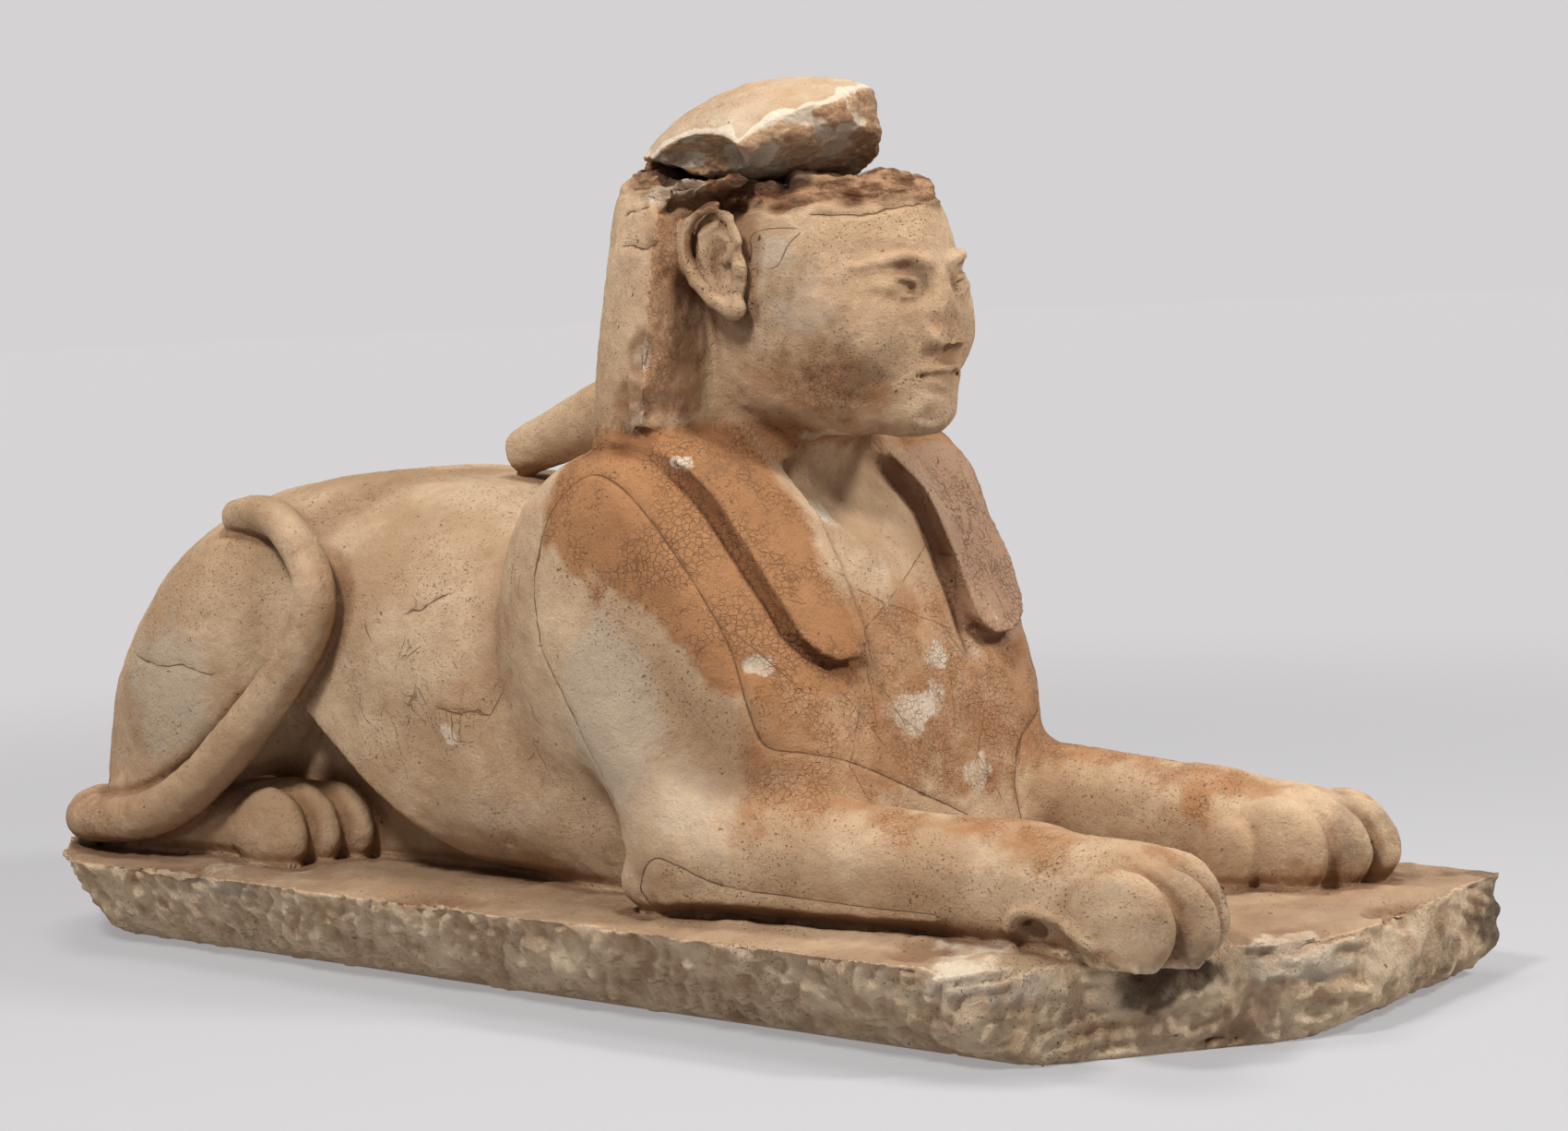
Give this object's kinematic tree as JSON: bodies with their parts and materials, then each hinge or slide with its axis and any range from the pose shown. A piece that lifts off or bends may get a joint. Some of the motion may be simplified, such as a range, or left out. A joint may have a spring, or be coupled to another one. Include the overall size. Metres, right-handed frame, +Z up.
{
  "type": "sphinx statue",
  "caption": "Recumbent stone sphinx with a lion's body, royal headcloth and long forelegs on a rough plinth, its loose crown piece refitted.",
  "frame": {"origin": "middle of the outline's box on the ground, under the plinth", "axes": "+Z up, the sphinx looks along -Y, its right flank with the tail is on the -X side"},
  "size_m": [0.4674, 1.1812, 0.6843],
  "materials": {
    "limestone": "weathered, matt, with orange-brown patina",
    "crown_limestone": "matt, paler, with fresh broken edges"
  },
  "bodies": {
    "root": {"sphinx": "limestone", "headcloth_crown_fragment": "crown_limestone"}
  },
  "joints": []
}
